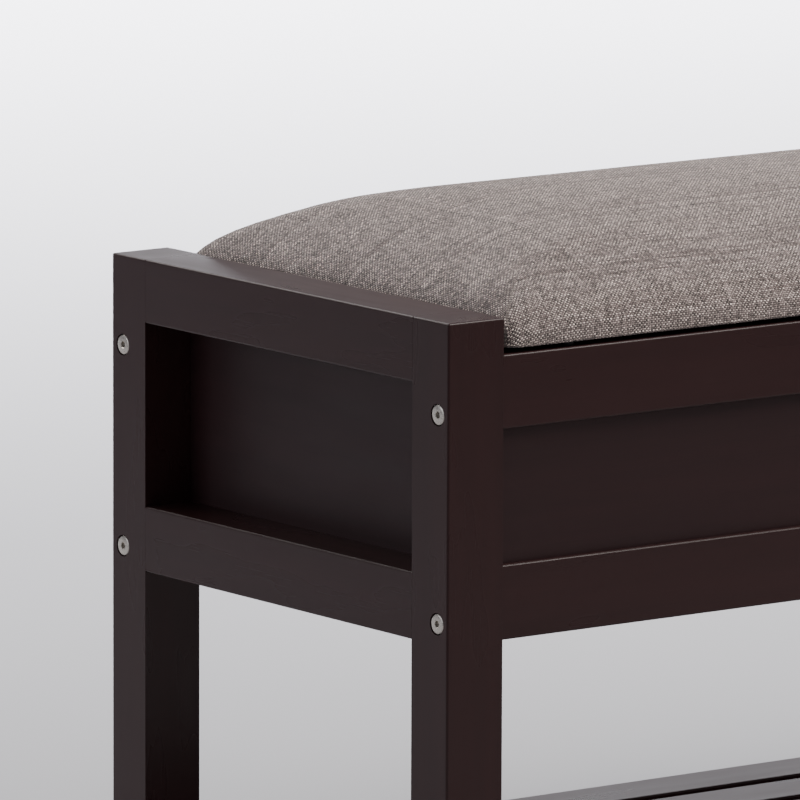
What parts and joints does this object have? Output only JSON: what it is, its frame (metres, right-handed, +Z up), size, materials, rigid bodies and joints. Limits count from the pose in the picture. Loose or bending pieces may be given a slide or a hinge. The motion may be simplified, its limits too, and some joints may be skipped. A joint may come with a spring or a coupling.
{
  "type": "storage bench",
  "caption": "Storage bench with a hinged upholstered lid over a panelled box between framed ends, and a slatted shelf below.",
  "frame": {"origin": "on the floor under the middle of the bench", "axes": "+X along the bench to the right of someone facing its front, +Y to the back, +Z up"},
  "size_m": [1, 0.36, 0.5083],
  "materials": {
    "espresso_lacquer": "espresso stained wood under satin lacquer",
    "espresso_board": "thin stained board, satin",
    "linen_cloth": "plain weave with slubs, taupe grey heather",
    "foam": "open cell foam",
    "plywood": "raw plywood",
    "black_cloth": "thin non-woven dust cover",
    "nickel": "nickel plated steel",
    "zinc": "zinc plated steel sheet",
    "rubber": "matt rubber"
  },
  "bodies": {
    "frame": {"left_front_leg": "espresso_lacquer", "left_rear_leg": "espresso_lacquer", "left_top_rail": "espresso_lacquer", "left_box_rail": "espresso_lacquer", "left_stretcher": "espresso_lacquer", "left_end_panel": "espresso_board", "right_front_leg": "espresso_lacquer", "right_rear_leg": "espresso_lacquer", "right_top_rail": "espresso_lacquer", "right_box_rail": "espresso_lacquer", "right_stretcher": "espresso_lacquer", "right_end_panel": "espresso_board", "front_upper_rail": "espresso_lacquer", "front_panel": "espresso_board", "front_lower_rail": "espresso_lacquer", "front_floor_cleat": "espresso_lacquer", "back_upper_rail": "espresso_lacquer", "back_panel": "espresso_board", "back_lower_rail": "espresso_lacquer", "back_floor_cleat": "espresso_lacquer", "box_floor": "espresso_board", "shelf_slat_1": "espresso_lacquer", "shelf_slat_2": "espresso_lacquer", "shelf_slat_3": "espresso_lacquer", "shelf_slat_4": "espresso_lacquer", "shelf_slat_5": "espresso_lacquer", "shelf_batten": "espresso_lacquer", "left_hinge_rail_leaf": "zinc", "left_hinge_pin": "zinc", "middle_hinge_rail_leaf": "zinc", "middle_hinge_pin": "zinc", "right_hinge_rail_leaf": "zinc", "right_hinge_pin": "zinc", "left_lid_bumper": "rubber", "left_stay_wall_plate": "zinc", "left_front_upper_bolt": "nickel", "left_front_lower_bolt": "nickel", "left_rear_upper_bolt": "nickel", "left_rear_lower_bolt": "nickel", "right_lid_bumper": "rubber", "right_stay_wall_plate": "zinc", "right_front_upper_bolt": "nickel", "right_front_lower_bolt": "nickel", "right_rear_upper_bolt": "nickel", "right_rear_lower_bolt": "nickel"},
    "lid": {"lid_board": "plywood", "seat_foam": "foam", "seat_cover": "linen_cloth", "lid_dust_cover": "black_cloth", "left_hinge_lid_leaf": "zinc", "middle_hinge_lid_leaf": "zinc", "right_hinge_lid_leaf": "zinc", "left_stay_lid_bracket": "zinc", "right_stay_lid_bracket": "zinc"},
    "left_lower_arm": {"left_stay_lower_arm": "zinc"},
    "left_upper_arm": {"left_stay_upper_arm": "zinc"},
    "right_lower_arm": {"right_stay_lower_arm": "zinc"},
    "right_upper_arm": {"right_stay_upper_arm": "zinc"}
  },
  "joints": [
    {"name": "lid_hinge", "type": "hinge", "parent": "frame", "child": "lid", "pos_m": [0, 0.17305, 0.44155], "axis": [-1, 0, 0], "range_deg": [0, 90]},
    {"name": "left_stay_wall_pivot", "type": "hinge", "parent": "frame", "child": "left_lower_arm", "pos_m": [-0.4537, 0.10305, 0.40155], "axis": [-1, 0, 0], "range_deg": [0, 90]},
    {"name": "left_stay_lid_pivot", "type": "hinge", "parent": "lid", "child": "left_upper_arm", "pos_m": [-0.4512, 0.08305, 0.43255], "axis": [-1, 0, 0], "range_deg": [-90, 0]},
    {"name": "right_stay_wall_pivot", "type": "hinge", "parent": "frame", "child": "right_lower_arm", "pos_m": [0.4537, 0.10305, 0.40155], "axis": [-1, 0, 0], "range_deg": [0, 90]},
    {"name": "right_stay_lid_pivot", "type": "hinge", "parent": "lid", "child": "right_upper_arm", "pos_m": [0.4512, 0.08305, 0.43255], "axis": [-1, 0, 0], "range_deg": [-90, 0]}
  ],
  "couplings": [
    {"joint": "left_stay_wall_pivot", "follows": "lid_hinge", "ratio": 1},
    {"joint": "left_stay_lid_pivot", "follows": "lid_hinge", "ratio": -1},
    {"joint": "right_stay_wall_pivot", "follows": "lid_hinge", "ratio": 1},
    {"joint": "right_stay_lid_pivot", "follows": "lid_hinge", "ratio": -1}
  ]
}
